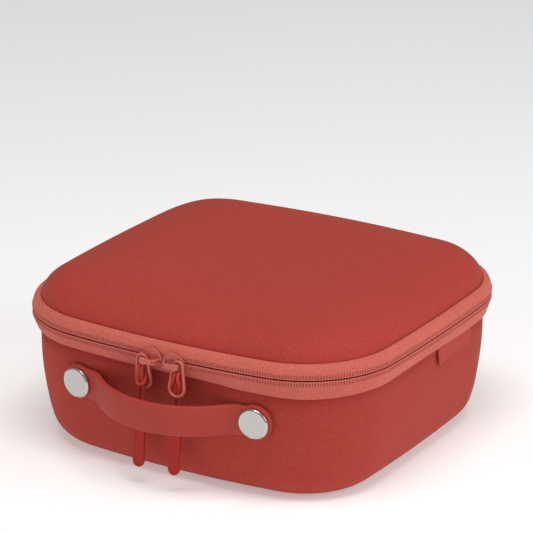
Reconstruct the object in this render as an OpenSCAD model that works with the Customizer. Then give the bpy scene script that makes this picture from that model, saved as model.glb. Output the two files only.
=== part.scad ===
/* [Plan outline] */
// Distance from the centre to a corner arc's centre, left to right
corner_x = 63.6; // [57.6, 63.6, 64.8]
// Distance from the centre to a corner arc's centre, front to back
corner_y = 55.2; // [48, 55.2, 60]
// Radius of each corner at the widest line of the zip band
corner_r = 64; // [63.5:0.5:65]
// How far the front and the back bow out between the corners
front_bow = 3.6; // [2.4, 3.2, 3.6, 4.8]
// How far the left and right sides bow out between the corners
side_bow = 1.2; // [1.2, 1.6, 2.4]

/* [Body] */
// Height of the zip line above the table
zip_z = 85.5; // [84:0.5:88]
// Radius of the round bottom edge
bottom_r = 20; // [20:1:26]
// Radius of the gentle curve down the wall
wall_r = 180; // [170:5:190]
// Thickness of the moulded outer shell
shell_t = 2.6; // [2.2:0.1:3]
// Thickness of the insulating foam
foam_t = 4; // [3:0.5:4]
// Thickness of the wipe-clean lining
liner_t = 0.8; // [0.6:0.1:1]

/* [Lid] */
// Highest point of the lid above the table
lid_top_z = 115; // [114:0.5:117]
// Radius of the shallow crown of the lid
crown_r = 150; // [148:1:152]
// Radius of the lid's shoulder
shoulder_r = 32; // [31:1:33]
// Radius of the lid's lower edge
edge_r = 17; // [16:1:18]

/* [Zip] */
// Gap between the two tapes, in which the slider necks run
zip_gap = 1.2; // [1.2:0.1:1.6]
// Distance between neighbouring turns of a coil
coil_pitch = 1.8; // [1.6:0.2:4]
// Angle round each back corner at which the zip ends
zip_end = 50; // [30:5:70]
// Where the two sliders meet, to the right of the centre line
meet_x = 2.6; // [0:0.2:6]

/* [Handle] */
// Distance from the centre to each rivet
rivet_x = 64; // [62:1:66]
// Height of the rivets above the table
rivet_z = 54.5; // [50:0.5:56]
// Diameter of a rivet's cap
cap_d = 20; // [16:0.2:21]
// Width of the handle strap
strap_w = 20; // [18:0.5:21]
// Thickness of the handle strap
strap_t = 3.6; // [3:0.2:4]
// Diameter of the round ends of the strap
pad_d = 23; // [22:0.2:24]

/* [Hidden] */

shell_color = [0.68, 0.26, 0.23];
tape_color = [0.76, 0.38, 0.34];
cord_color = [0.67, 0.16, 0.13];
steel_color = [0.77, 0.75, 0.73];
foam_color = [0.85, 0.85, 0.83];
liner_color = [0.62, 0.63, 0.65];
left = -1;
right = 1;

// The outline is eight arcs, each tangent to the next: front, back, two sides, four corners.
front_reach = (pow(corner_x, 2) / front_bow - front_bow) / 2;
side_reach = (pow(corner_y, 2) / side_bow - side_bow) / 2;
front_c = front_reach - corner_y;
side_c = side_reach - corner_x;
front_r = front_reach + front_bow + corner_r;
side_r = side_reach + side_bow + corner_r;
half_d = front_r - front_c;
front_angle = atan2(corner_x, front_reach);
side_angle = atan2(corner_y, side_reach);
sector_scale = 1.25;
sector_h = 400;
arc_fn = 360;
round_fn = 96;

// Directions whose sine and cosine are both short decimals, so that arcs meet exactly.
up = [0, 1];
up_steep = [0.28, 0.96];
up_out = [0.6, 0.8];
out_up = [0.96, 0.28];
out = [1, 0];
out_down = [0.96, -0.28];
down = [0, -1];

// Seams. An inset is measured in from the widest line of the band.
layer_gap = 0.1;
seam_inset = 5.2;
wall_top = (1 + out_down[1]) * bottom_r - out_down[1] * wall_r;
base_rim_z = zip_z - 5.6;
lid_rim_z = zip_z + 5;
foot_z = zip_z - 12.4;
foam_from = shell_t + layer_gap;
liner_from = foam_from + foam_t + layer_gap;
wall_t = liner_from + liner_t;
binding_t = 1.2;
tape_t = 1.2;
coil_web = 1.9;
coil_depth = 3.8;
coil_h = 3;

// ---------------------------------------------------------------- swept forms

module front_sector()
    linear_extrude(sector_h, center = true)
    polygon([
        [0, front_c],
        [-corner_x * sector_scale, front_c - front_reach * sector_scale],
        [corner_x * sector_scale, front_c - front_reach * sector_scale]
    ]);

module side_sector()
    linear_extrude(sector_h, center = true)
    polygon([
        [-side_c, 0],
        [side_reach * sector_scale - side_c, -corner_y * sector_scale],
        [side_reach * sector_scale - side_c, corner_y * sector_scale]
    ]);

module corner_sector()
    linear_extrude(sector_h, center = true)
    polygon([
        [corner_x, -corner_y],
        [corner_x * sector_scale, front_c - front_reach * sector_scale],
        [corner_x + 3 * corner_r, -corner_y - 3 * corner_r],
        [side_reach * sector_scale - side_c, -corner_y * sector_scale]
    ]);

// A profile, drawn with x = -inset and y = height, turned about each kind of arc centre.
module front_revolve()
    translate([0, front_c, 0])
    rotate_extrude($fn = arc_fn)
    translate([front_r, 0])
    children();

module side_revolve()
    translate([-side_c, 0, 0])
    rotate_extrude($fn = arc_fn)
    translate([side_r, 0])
    children();

module corner_revolve()
    translate([corner_x, -corner_y, 0])
    rotate_extrude($fn = round_fn)
    translate([corner_r, 0])
    children();

// The profile swept along the whole outline.
module around() {
    for (s = [0, 1]) mirror([0, s, 0]) {
        intersection() {
            front_revolve() children();
            front_sector();
        }
        for (m = [0, 1]) mirror([m, 0, 0]) intersection() {
            corner_revolve() children();
            corner_sector();
        }
    }
    for (m = [0, 1]) mirror([m, 0, 0]) intersection() {
        side_revolve() children();
        side_sector();
    }
}

// The profile swept along the middle of the back only.
module along_back(width)
    intersection() {
        mirror([0, 1, 0]) front_revolve() children();
        translate([-width / 2, 0, 0]) cube([width, 2 * half_d, 2 * lid_top_z]);
    }

// The area that the corner centres enclose, between two levels.
module middle(z0, z1)
    translate([0, 0, z0]) linear_extrude(z1 - z0) intersection() {
        translate([0, front_c]) circle(r = front_r - corner_r, $fn = arc_fn);
        translate([0, -front_c]) circle(r = front_r - corner_r, $fn = arc_fn);
        translate([side_c, 0]) circle(r = side_r - corner_r, $fn = arc_fn);
        translate([-side_c, 0]) circle(r = side_r - corner_r, $fn = arc_fn);
    }

// ---------------------------------------------------------------- profiles

// The part of a disc between two directions.
module pie(centre, r, from, to)
    intersection() {
        translate(centre) circle(r = r, $fn = arc_fn);
        polygon([centre, centre + 2 * r * from, centre + 2 * r * (from + to), centre + 2 * r * to]);
    }

wall_c = [-seam_inset - wall_r, wall_top];
bottom_c = wall_c + (wall_r - bottom_r) * out_down;

// Everything more than `depth` inside the base's outer face, up to the level z1.
module base_fill(depth, z1)
    intersection() {
        translate([-corner_r, depth]) square([corner_r, z1 - depth]);
        union() {
            pie(wall_c, wall_r - depth, out, out_down);
            pie(bottom_c, bottom_r - depth, out_down, down);
            translate([-corner_r, wall_top])
                square([corner_r - seam_inset - depth, sector_h]);
            polygon([wall_c, bottom_c, [bottom_c[0], depth], [wall_c[0], depth]]);
        }
    }

crown_c = [-corner_r, lid_top_z - crown_r];
shoulder_c = crown_c + (crown_r - shoulder_r) * up_steep;
edge_c = shoulder_c + (shoulder_r - edge_r) * up_out;
foot = edge_c + edge_r * out_up;

// Everything more than `depth` inside the lid's outer face, down to the level z0.
module lid_fill(depth, z0)
    intersection() {
        translate([-corner_r, z0]) square([corner_r, lid_top_z - z0]);
        union() {
            pie(crown_c, crown_r - depth, up, up_steep);
            pie(shoulder_c, shoulder_r - depth, up_steep, up_out);
            pie(edge_c, edge_r - depth, up_out, out_up);
            polygon([
                crown_c, shoulder_c, edge_c, foot - depth * out_up,
                [foot[0] - depth * out_up[0], crown_c[1]]
            ]);
        }
    }

// One layer of the base between two depths, with its floor.
module base_layer(from, to, z1) {
    around() difference() {
        base_fill(from, z1);
        base_fill(to, z1 + 1);
    }
    middle(from, to);
}

// One layer of the lid between two depths, with its top.
module lid_layer(from, to, z0) {
    around() difference() {
        lid_fill(from, z0);
        lid_fill(to, z0 - 1);
    }
    middle(lid_top_z - to, lid_top_z - from);
}

// ---------------------------------------------------------------- base

// The place of a rivet: local -y points straight out of the wall.
rivet_inset = seam_inset + wall_r - sqrt(pow(wall_r, 2) - pow(wall_top - rivet_z, 2));
rivet_lean = asin((wall_top - rivet_z) / wall_r);
rivet_yaw = asin(rivet_x / (front_r - rivet_inset));
rivet_y = front_c - (front_r - rivet_inset) * cos(rivet_yaw);
shank_d = 5;
hole_d = 5.4;

module on_wall()
    translate([0, rivet_y, rivet_z]) rotate([rivet_lean, 0, 0]) children();

module at_rivet(side)
    on_wall() translate([side * rivet_x, 0, 0]) rotate([0, 0, side * rivet_yaw]) children();

module rivet_hole(side)
    at_rivet(side) rotate([90, 0, 0]) cylinder(d = hole_d, h = 4 * wall_t, center = true, $fn = 48);

module with_rivet_holes()
    difference() {
        children();
        rivet_hole(left);
        rivet_hole(right);
    }

module base_shell()
    color(shell_color) with_rivet_holes() base_layer(0, shell_t, base_rim_z);

module base_foam()
    color(foam_color) with_rivet_holes()
    base_layer(foam_from, foam_from + foam_t, base_rim_z);

module base_liner()
    color(liner_color) with_rivet_holes() base_layer(liner_from, wall_t, base_rim_z);

// The tape that covers the edges of the wall's layers.
module base_binding()
    color(tape_color) around()
    translate([-seam_inset - wall_t - 1, base_rim_z + layer_gap / 2])
    square([wall_t + 1, binding_t]);

// The band below the zip line: a thick sewn foot, and a lip that reaches the zip line.
module zip_tape_lower() {
    lip_z = zip_z - zip_gap / 2;
    shelf_z = base_rim_z + layer_gap / 2 + binding_t;
    color(tape_color) around() polygon([
        [layer_gap / 2 - seam_inset, foot_z],
        [-3.6, foot_z + 0.3],
        [-2.7, foot_z + 1.1],
        [-2, foot_z + 3.2],
        [-0.8, foot_z + 7],
        [0, foot_z + 10.4],
        [0, lip_z],
        [-tape_t, lip_z],
        [-tape_t, shelf_z],
        [layer_gap / 2 - seam_inset, shelf_z]
    ]);
}

// Arc lengths of the right half of the zip, from the middle of the front to its end.
degree = PI / 180;
front_len = front_angle * degree * front_r;
corner_len = (90 - front_angle - side_angle) * degree * corner_r;
side_len = 2 * side_angle * degree * side_r;
end_len = zip_end * degree * corner_r;
zip_len = front_len + corner_len + side_len + end_len;

function polar(c, r, angle) = [c[0] + r * cos(angle), c[1] + r * sin(angle)];

// The point at arc length t from the middle of the front, to the right, at an inset.
function right_point(t, inset) =
    t < front_len
        ? polar([0, front_c], front_r - inset, -90 + t / front_r / degree)
    : t < front_len + corner_len
        ? polar([corner_x, -corner_y], corner_r - inset,
            -90 + front_angle + (t - front_len) / corner_r / degree)
    : t < front_len + corner_len + side_len
        ? polar([-side_c, 0], side_r - inset,
            -side_angle + (t - front_len - corner_len) / side_r / degree)
    : polar([corner_x, corner_y], corner_r - inset,
        side_angle + (t - front_len - corner_len - side_len) / corner_r / degree);

function zip_point(t, inset) =
    let (p = right_point(abs(t), inset)) t < 0 ? [-p[0], p[1]] : p;

// A row of coil turns on a narrow web, seen from above. `shift` moves it by part of a turn.
module coil_outline(shift) {
    turns = floor(zip_len / coil_pitch) - 1;
    web = [for (k = [-turns : turns]) zip_point((k + shift) * coil_pitch, tape_t + layer_gap)];
    teeth = [
        for (k = [turns - 1 : -1 : -turns])
            for (step = [[0.75, coil_web], [0.75, coil_depth], [0.25, coil_depth], [0.25, coil_web]])
                zip_point((k + shift + step[0]) * coil_pitch, step[1])
    ];
    polygon(concat(web, teeth));
}

module zip_coil_lower()
    color(tape_color)
    translate([0, 0, zip_z - zip_gap / 2 - coil_h])
    linear_extrude(coil_h)
    coil_outline(0);

// The hinge fabric behind the bands at the back, between the ends of the zip.
hinge_w = 100;
hinge_z = 3;
module hinge_web_lower()
    color(shell_color) along_back(hinge_w)
    translate([-2 * tape_t - layer_gap, zip_z - zip_gap / 2 - hinge_z])
    square([tape_t, hinge_z + zip_gap / 2 - layer_gap]);

// A bar-tacked fabric stop on the band at an end of the zip.
stop_len = 6;
stop_h = 2.8;
stop_t = 1;
module zip_stop(side)
    color(shell_color)
    mirror([side < 0 ? 1 : 0, 0, 0])
    translate([corner_x, corner_y, 0])
    rotate([0, 0, side_angle + zip_end])
    translate([corner_r + layer_gap, -stop_len / 2, zip_z - zip_gap / 2 - layer_gap - stop_h])
    cube([stop_t, stop_len, stop_h]);

module zip_stop_left() zip_stop(left);
module zip_stop_right() zip_stop(right);

// A folded fabric tab hanging from under the band on the right side.
label_from = 4.5;
label_len = 46;
label_h = 10.5;
label_t = 0.9;
module side_label() {
    label_top = foot_z - layer_gap;
    color(shell_color) intersection() {
        side_revolve()
            translate([layer_gap - seam_inset, label_top - label_h]) square([label_t, label_h]);
        translate([0, label_from, 0]) cube([2 * corner_r + corner_x, label_len, lid_top_z]);
    }
}

// ---------------------------------------------------------------- handle

pad_gap = 0.35;
pad_proud = 0.05;
bend_a = 45;
bend_r = 12.5;
root_len = 10;
bow_r = (rivet_x - root_len * cos(rivet_yaw) - bend_r * (sin(bend_a) - sin(rivet_yaw))) / sin(bend_a);
pad_mid = pad_gap + strap_t / 2;

// The plan of the strap's right half as centre points and headings, from the rivet to the middle.
bend_from = [rivet_x - root_len * cos(rivet_yaw), -pad_mid - root_len * sin(rivet_yaw)];
bow_from = bend_from
    - bend_r * [sin(bend_a) - sin(rivet_yaw), cos(rivet_yaw) - cos(bend_a)];
strap_rows = concat(
    [[[rivet_x, -pad_mid], rivet_yaw]],
    [for (k = [0 : 5]) let (a = rivet_yaw + k * (bend_a - rivet_yaw) / 5)
        [bend_from - bend_r * [sin(a) - sin(rivet_yaw), cos(rivet_yaw) - cos(a)], a]],
    [for (k = [1 : 9]) let (a = bend_a * (1 - k / 10))
        [bow_from - bow_r * [sin(bend_a) - sin(a), cos(a) - cos(bend_a)], a]]
);
function strap_edge(row, offset) = row[0] + offset * [sin(row[1]), -cos(row[1])];
function flipped(points) = [for (k = [len(points) - 1 : -1 : 0]) [-points[k][0], points[k][1]]];
strap_outer = [for (row = strap_rows) strap_edge(row, strap_t / 2)];
strap_inner = [for (row = strap_rows) strap_edge(row, -strap_t / 2)];

module handle_strap() {
    inner = concat(strap_inner, flipped(strap_inner));
    color(shell_color) difference() {
        union() {
            on_wall()
                linear_extrude(strap_w, center = true)
                polygon(concat(
                    strap_outer, flipped(strap_outer), [for (k = [len(inner) - 1 : -1 : 0]) inner[k]]
                ));
            for (side = [left, right])
                at_rivet(side) translate([0, pad_proud - pad_gap, 0]) rotate([90, 0, 0])
                    cylinder(d = pad_d, h = strap_t + 2 * pad_proud, $fn = round_fn);
        }
        rivet_hole(left);
        rivet_hole(right);
    }
}

// A rivet: a bevelled cap and a shank through the strap and the wall.
cap_h = 2.4;
cap_bevel = 0.9;
cap_under = 0.6;
washer_d = 14;
washer_gap = 0.3;
washer_t = 1.2;
module rivet(side) {
    cap_y = pad_gap + strap_t + pad_proud + layer_gap;
    color(steel_color) at_rivet(side) rotate([90, 0, 0]) {
        translate([0, 0, cap_y]) rotate_extrude($fn = round_fn) polygon([
            [0, 0],
            [cap_d / 2 - cap_under, 0],
            [cap_d / 2, cap_under],
            [cap_d / 2, cap_h - cap_bevel],
            [cap_d / 2 - cap_bevel, cap_h],
            [0, cap_h]
        ]);
        translate([0, 0, -wall_t - washer_gap - washer_t])
            cylinder(d = shank_d, h = cap_y + wall_t + washer_gap + washer_t, $fn = 48);
    }
}
module rivet_left() rivet(left);
module rivet_right() rivet(right);

// The washer that spreads a rivet's load on the lining.
module rivet_washer(side)
    color(steel_color) at_rivet(side) translate([0, wall_t + washer_gap, 0]) rotate([-90, 0, 0])
    difference() {
        cylinder(d = washer_d, h = washer_t, $fn = 64);
        translate([0, 0, -1]) cylinder(d = shank_d + 0.1, h = washer_t + 2, $fn = 48);
    }
module rivet_washer_left() rivet_washer(left);
module rivet_washer_right() rivet_washer(right);

// ---------------------------------------------------------------- lid

module lid_shell()
    color(shell_color) lid_layer(0, shell_t, lid_rim_z);

module lid_foam()
    color(foam_color) lid_layer(foam_from, foam_from + foam_t, lid_rim_z);

module lid_liner()
    color(liner_color) lid_layer(liner_from, wall_t, lid_rim_z);

module lid_binding()
    color(tape_color) around()
    translate([-seam_inset - wall_t - 1, lid_rim_z - layer_gap / 2 - binding_t])
    square([wall_t + 1, binding_t]);

// The band above the zip line, curling in to the foot of the lid.
module zip_tape_upper() {
    lip_z = zip_z + zip_gap / 2;
    shelf_z = lid_rim_z - layer_gap / 2 - binding_t;
    top_z = foot[1] - 0.2;
    color(tape_color) around() polygon([
        [-tape_t, lip_z],
        [0, lip_z],
        [0, lip_z + 2.6],
        [-0.5, lip_z + 5],
        [-1.7, top_z - 1.3],
        [-3.5, top_z - 0.3],
        [foot[0] + layer_gap / 2, top_z],
        [foot[0] + layer_gap / 2, lid_rim_z + layer_gap],
        [layer_gap / 2 - seam_inset, lid_rim_z + layer_gap],
        [layer_gap / 2 - seam_inset, shelf_z],
        [-tape_t, shelf_z]
    ]);
}

module zip_coil_upper()
    color(tape_color)
    translate([0, 0, zip_z + zip_gap / 2])
    linear_extrude(coil_h)
    coil_outline(0.5);

module hinge_web_upper()
    color(shell_color) along_back(hinge_w)
    translate([-2 * tape_t - layer_gap, zip_z + layer_gap])
    square([tape_t, hinge_z + zip_gap / 2 - layer_gap]);

// ---------------------------------------------------------------- sliders and pulls

// A place on the front at the zip line: local -y points out, z = 0 is the zip line.
slider_len = 16.4;
slider_h = 11.6;
slider_t = 1.4;
inner_len = 13;
inner_h = 6.8;
neck_len = 4;
neck_h = 0.6;
function slider_angle(side) =
    asin((meet_x + side * (slider_len / 2 + 0.2)) / front_r);

module at_slider(side)
    translate([0, front_c, 0])
    rotate([0, 0, slider_angle(side)])
    translate([0, -front_r, zip_z])
    mirror([side < 0 ? 1 : 0, 0, 0])
    children();

// A shield outline from arcs, widest near its inner end, t thick outward from y = -from.
flank_r = 12;
flank_x = -2.5;
nose_r = 8;
nose_x = -0.45;
nose_z = 2;
module shield(length, height, from, t)
    translate([0, -from, 0]) rotate([90, 0, 0]) linear_extrude(t) intersection() {
        translate([flank_x, flank_r - height / 2]) circle(r = flank_r, $fn = arc_fn);
        translate([flank_x, height / 2 - flank_r]) circle(r = flank_r, $fn = arc_fn);
        translate([nose_x, nose_z]) circle(r = nose_r, $fn = arc_fn);
        translate([nose_x, -nose_z]) circle(r = nose_r, $fn = arc_fn);
        circle(d = length, $fn = arc_fn);
    }

plate_gap = 0.45;
back_plate_y = coil_depth + 0.4;
bail_low = -3.2;
bail_high = 0.2;
bar_low = -4;
bar_high = 0.9;
ring_y = 3.9;
ring_z = 1.8;
ring_x = 4.5;
pivot_z = -1.5;
wire_r = 0.95;
bail_in = ring_y + wire_r + 0.8;
bail_out = bail_in + 1.5;

// The slider: two shields joined by a neck, and a bail with a bar whose far post holds the ring.
module slider(side)
    color(tape_color) at_slider(side) {
        shield(slider_len, slider_h, plate_gap, slider_t);
        shield(inner_len, inner_h, -back_plate_y - slider_t, slider_t);
        translate([1 - neck_len, -plate_gap - slider_t / 2, -neck_h / 2])
            cube([neck_len, plate_gap + back_plate_y + slider_t, neck_h]);
        translate([0, 0, bail_low]) linear_extrude(bail_high - bail_low) difference() {
            polygon([
                [-7, -plate_gap - 1],
                [-5.8, 1 - bail_out],
                [-4.4, -bail_out],
                [ring_x, -bail_out],
                [ring_x + 1, 0.8 - bail_out],
                [ring_x + 1, -plate_gap - 1]
            ]);
            translate([-1.6, -bail_in]) square([ring_x + 0.6, bail_in - plate_gap - slider_t]);
        }
        translate([0, 0, bar_low]) linear_extrude(bar_high - bar_low) polygon([
            [-5.8, 1 - bail_out],
            [-4.4, -bail_out],
            [ring_x, -bail_out],
            [ring_x + 1, 0.8 - bail_out],
            [ring_x + 1, -bail_in],
            [-5.8, -bail_in]
        ]);
    }
module slider_left() slider(left);
module slider_right() slider(right);

// A wire teardrop round the bail's post. The cord holds its lower end out or in.
ring_top_r = 3.4;
ring_bottom_r = 5.3;
ring_drop = 22.2;
ring_tilt = 6.8;
module puller_ring(side) {
    span = ring_drop - ring_top_r - ring_bottom_r;
    flare = asin((ring_bottom_r - ring_top_r) / span);
    leg = span * cos(flare);
    color(tape_color) at_slider(side)
    translate([ring_x, -ring_y, pivot_z])
    rotate([-side * ring_tilt, 0, 0])
    translate([0, 0, ring_z - pivot_z])
    rotate([90, 0, 0]) {
        translate([0, -ring_top_r, 0])
            rotate_extrude(angle = 180 - 2 * flare, start = flare, $fn = round_fn)
            translate([ring_top_r, 0]) circle(r = wire_r, $fn = 24);
        translate([0, -ring_top_r - span, 0])
            rotate_extrude(angle = 180 + 2 * flare, start = 180 - flare, $fn = round_fn)
            translate([ring_bottom_r, 0]) circle(r = wire_r, $fn = 24);
        for (m = [0, 1]) mirror([m, 0, 0]) {
            translate([ring_bottom_r * cos(flare), ring_bottom_r * sin(flare) - ring_top_r - span, 0])
            rotate([0, 0, flare]) {
                rotate([-90, 0, 0]) cylinder(r = wire_r, h = leg, $fn = 24);
                sphere(r = wire_r + 0.03, $fn = 24);
                translate([0, leg, 0]) sphere(r = wire_r + 0.03, $fn = 24);
            }
        }
    }
}
module puller_ring_left() puller_ring(left);
module puller_ring_right() puller_ring(right);

// A doubled cord from the bail's post, through its own knot, down to the tab.
cord_r = 1;
cord_top = bail_low - 0.3;
tab_top = -40;
tab_w = 7.8;
tab_t = 2.6;
tab_len = 34;
knot_z = -14.5;
knot_r = 1.3;
knot_len = 4;
strand_x = 1.05;
pull_lean = 3;

// A place for a pull: it leans to the left about the ring's pivot.
module at_pull(side)
    at_slider(side) translate([ring_x, -ring_y, pivot_z]) rotate([0, side * pull_lean, 0])
    translate([0, 0, -pivot_z]) children();

module pull_cord(side)
    color(cord_color) at_pull(side) {
        for (x = [-strand_x, strand_x])
            translate([x, 0, tab_top]) cylinder(r = cord_r, h = cord_top - tab_top, $fn = 24);
        translate([-knot_len / 2, 0, knot_z]) rotate([0, 90, 0])
            cylinder(r = knot_r, h = knot_len, $fn = 24);
    }
module pull_cord_left() pull_cord(left);
module pull_cord_right() pull_cord(right);

// A moulded tab with a round end.
tab_corner = 1.5;
module pull_tab(side)
    color(cord_color) at_pull(side)
    translate([0, tab_t / 2, tab_top]) rotate([90, 0, 0]) linear_extrude(tab_t) {
        translate([0, tab_w / 2 - tab_len]) circle(d = tab_w, $fn = round_fn);
        translate([-tab_w / 2, tab_w / 2 - tab_len])
            square([tab_w, tab_len - tab_w / 2 - tab_corner]);
        translate([tab_corner - tab_w / 2, -2 * tab_corner])
            square([tab_w - 2 * tab_corner, 2 * tab_corner]);
        for (x = [tab_corner - tab_w / 2, tab_w / 2 - tab_corner])
            translate([x, -tab_corner]) circle(r = tab_corner, $fn = 48);
    }
module pull_tab_left() pull_tab(left);
module pull_tab_right() pull_tab(right);

base_shell();
base_foam();
base_liner();
base_binding();
zip_tape_lower();
zip_coil_lower();
hinge_web_lower();
zip_stop_left();
zip_stop_right();
side_label();
handle_strap();
rivet_left();
rivet_right();
rivet_washer_left();
rivet_washer_right();
lid_shell();
lid_foam();
lid_liner();
lid_binding();
zip_tape_upper();
zip_coil_upper();
hinge_web_upper();
slider_left();
slider_right();
puller_ring_left();
puller_ring_right();
pull_cord_left();
pull_cord_right();
pull_tab_left();
pull_tab_right();
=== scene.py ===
import math

import bmesh
import bpy
import numpy as np
from mathutils import Matrix, Vector, noise


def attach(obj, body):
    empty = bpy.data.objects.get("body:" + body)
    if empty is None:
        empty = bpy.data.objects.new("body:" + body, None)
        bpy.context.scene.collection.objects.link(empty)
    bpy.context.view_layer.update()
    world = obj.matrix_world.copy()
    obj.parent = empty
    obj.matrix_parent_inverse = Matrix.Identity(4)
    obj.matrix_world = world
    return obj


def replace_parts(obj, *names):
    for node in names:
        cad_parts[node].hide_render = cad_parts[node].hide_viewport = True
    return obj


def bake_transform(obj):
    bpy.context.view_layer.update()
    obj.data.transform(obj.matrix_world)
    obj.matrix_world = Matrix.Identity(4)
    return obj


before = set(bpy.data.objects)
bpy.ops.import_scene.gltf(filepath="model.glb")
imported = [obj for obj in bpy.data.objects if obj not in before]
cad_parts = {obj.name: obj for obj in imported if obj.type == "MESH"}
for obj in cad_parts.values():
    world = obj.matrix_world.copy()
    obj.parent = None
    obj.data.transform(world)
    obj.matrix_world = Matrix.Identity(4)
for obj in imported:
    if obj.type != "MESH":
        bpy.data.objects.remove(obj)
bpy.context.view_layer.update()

MM = 0.001

# ---------------------------------------------------------------- dimensions, in mm
CORNER_X, CORNER_Y, CORNER_R = 63.6, 55.2, 64.0
FRONT_BOW, SIDE_BOW = 3.6, 1.2
FRONT_REACH = (CORNER_X ** 2 / FRONT_BOW - FRONT_BOW) / 2
SIDE_REACH = (CORNER_Y ** 2 / SIDE_BOW - SIDE_BOW) / 2
FRONT_C = FRONT_REACH - CORNER_Y
SIDE_C = SIDE_REACH - CORNER_X
FRONT_R = FRONT_REACH + FRONT_BOW + CORNER_R
SIDE_R = SIDE_REACH + SIDE_BOW + CORNER_R
FRONT_ANGLE = math.atan2(CORNER_X, FRONT_REACH)
SIDE_ANGLE = math.atan2(CORNER_Y, SIDE_REACH)

ZIP_Z = 85.5
ZIP_END = math.radians(50)
COIL_PITCH = 1.8
SHELL_T, LINER_FROM, WALL_T = 2.6, 6.8, 7.6
SEAM = 5.2
BASE_RIM_Z, LID_RIM_Z = ZIP_Z - 5.6, ZIP_Z + 5.0
FOOT_Z = ZIP_Z - 12.4
LID_TOP_Z = 115.0
HINGE_W = 100.0

RIVET_X, RIVET_Z = 64.0, 54.5
WALL_R, BOTTOM_R = 180.0, 20.0
# Sines and cosines of the two slopes at which one arc of a profile runs on into the next.
SIN_A, COS_A = 0.28, 0.96
SIN_B, COS_B = 0.6, 0.8
WALL_TOP = (1 - SIN_A) * BOTTOM_R + SIN_A * WALL_R
RIVET_INSET = SEAM + WALL_R - math.sqrt(WALL_R ** 2 - (WALL_TOP - RIVET_Z) ** 2)
RIVET_LEAN = math.asin((WALL_TOP - RIVET_Z) / WALL_R)
RIVET_YAW = math.asin(RIVET_X / (FRONT_R - RIVET_INSET))
RIVET_Y = FRONT_C - (FRONT_R - RIVET_INSET) * math.cos(RIVET_YAW)
CAP_D, PAD_D = 20.0, 23.0
STRAP_W, STRAP_T = 20.0, 3.6
PAD_GAP = 0.35
BEND_A = math.radians(45)
BEND_R = 12.5
ROOT_LEN = 10.0

MEET_X = 2.6
SLIDER_LEN, SLIDER_H, SLIDER_T = 16.4, 11.6, 1.4
INNER_LEN, INNER_H = 13.0, 6.8
FLANK_X, FLANK_R = -2.5, 12.0
NOSE_X, NOSE_Z, NOSE_R = -0.45, 2.0, 8.0
PLATE_GAP, BACK_PLATE_Y = 0.45, 4.2
RING_X, RING_Y, RING_Z = 4.5, 3.9, 1.8
PIVOT_Z = -1.5
WIRE_R = 0.95
RING_TOP_R, RING_BOTTOM_R, RING_DROP = 3.4, 5.3, 22.2
RING_TILT = math.radians(6.8)
BAIL_LOW, BAIL_HIGH = -3.2, 0.2
BAR_LOW, BAR_HIGH = -4.0, 0.9
BAIL_IN = RING_Y + WIRE_R + 0.8
BAIL_OUT = BAIL_IN + 1.5
TAB_TOP, TAB_W, TAB_T, TAB_LEN = -40.0, 7.8, 2.6, 34.0
CORD_R, STRAND_X = 1.0, 1.05
PULL_LEAN = math.radians(3)
LABEL_FROM, LABEL_LEN, LABEL_H = 4.5, 46.0, 10.5

# ---------------------------------------------------------------- camera, floor and lights
AZIMUTH, ELEVATION = math.radians(31.086), math.radians(20.176)
BACK = Vector((math.sin(AZIMUTH) * math.cos(ELEVATION), -math.cos(AZIMUTH) * math.cos(ELEVATION),
               math.sin(ELEVATION)))
RIGHT = Vector((math.cos(AZIMUTH), math.sin(AZIMUTH), 0))
UP = BACK.cross(RIGHT)
camera_data = bpy.data.cameras.new("camera")
camera_data.sensor_width = 36
camera_data.lens = 218.2
camera_data.clip_start = 0.05
camera = bpy.data.objects.new("camera", camera_data)
bpy.context.scene.collection.objects.link(camera)
camera.matrix_world = Matrix.Translation(
    Vector((0, 0, 0.086)) + BACK * 2.0711 + RIGHT * 0.00186 + UP * 0.01896
) @ Matrix((RIGHT, UP, BACK)).transposed().to_4x4()
bpy.context.scene.camera = camera


def area_light(name, place, target, size, energy):
    data = bpy.data.lights.new(name, "AREA")
    data.shape = "RECTANGLE"
    data.size, data.size_y = size
    data.energy = energy
    light = bpy.data.objects.new(name, data)
    bpy.context.scene.collection.objects.link(light)
    light.location = place
    light.rotation_euler = (Vector(target) - Vector(place)).to_track_quat("-Z", "Y").to_euler()


area_light("key_top", (0.25, -0.38, 1.5), (0, 0, 0.08), (1.0, 0.6), 13.3)
area_light("side_right", (1.5, 0.15, 0.75), (0, 0, 0.05), (1.2, 1.0), 8.5)
area_light("fill_front", (-0.7, -1.6, 0.7), (0, 0, 0.06), (1.4, 1.0), 3.4)

world = bpy.data.worlds.new("studio")
bpy.context.scene.world = world
world.use_nodes = True
world.node_tree.nodes["Background"].inputs["Color"].default_value = (1.0, 0.99, 0.98, 1)
world.node_tree.nodes["Background"].inputs["Strength"].default_value = 0.26
bpy.context.scene.view_settings.view_transform = "Standard"
bpy.context.scene.view_settings.look = "None"

# ---------------------------------------------------------------- materials


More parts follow.
